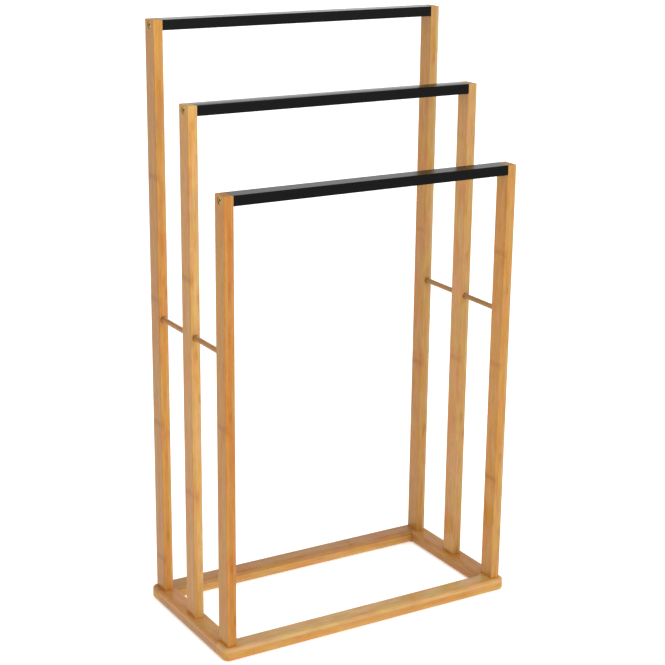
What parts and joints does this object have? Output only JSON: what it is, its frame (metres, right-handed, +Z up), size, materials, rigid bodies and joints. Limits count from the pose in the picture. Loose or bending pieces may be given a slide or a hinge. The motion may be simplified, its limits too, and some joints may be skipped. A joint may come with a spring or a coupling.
{
  "type": "towel rack",
  "caption": "Free-standing bamboo towel rack: stepped frames with black lacquered crossbars on a flat rectangular base, posts tied at mid height by round rods.",
  "frame": {"origin": "on the floor, under the centre of the base frame's rectangle", "axes": "+X to the rack's right along the bars, +Y to its back, from the lowest frame to the highest, +Z up"},
  "size_m": [0.501, 0.256, 0.9],
  "materials": {
    "bamboo": "laminated bamboo, clear satin varnish",
    "black_lacquer": "smooth black lacquer, satin",
    "bolt_steel": "yellow zinc plated steel",
    "insert_brass": "plain brass",
    "beech_dowel": "unfinished beech"
  },
  "bodies": {
    "root": {"base_front_rail": "bamboo", "base_rear_rail": "bamboo", "base_left_rail": "bamboo", "base_right_rail": "bamboo", "base_corner_dowels": "beech_dowel", "left_front_post": "bamboo", "left_middle_post": "bamboo", "left_rear_post": "bamboo", "right_front_post": "bamboo", "right_middle_post": "bamboo", "right_rear_post": "bamboo", "front_bar": "black_lacquer", "middle_bar": "black_lacquer", "rear_bar": "black_lacquer", "left_front_spacer": "bamboo", "left_rear_spacer": "bamboo", "right_front_spacer": "bamboo", "right_rear_spacer": "bamboo", "front_bar_bolts": "bolt_steel", "front_bar_inserts": "insert_brass", "middle_bar_bolts": "bolt_steel", "middle_bar_inserts": "insert_brass", "rear_bar_bolts": "bolt_steel", "rear_bar_inserts": "insert_brass", "left_post_bolts": "bolt_steel", "left_post_inserts": "insert_brass", "left_post_dowels": "beech_dowel", "right_post_bolts": "bolt_steel", "right_post_inserts": "insert_brass", "right_post_dowels": "beech_dowel"}
  },
  "joints": []
}
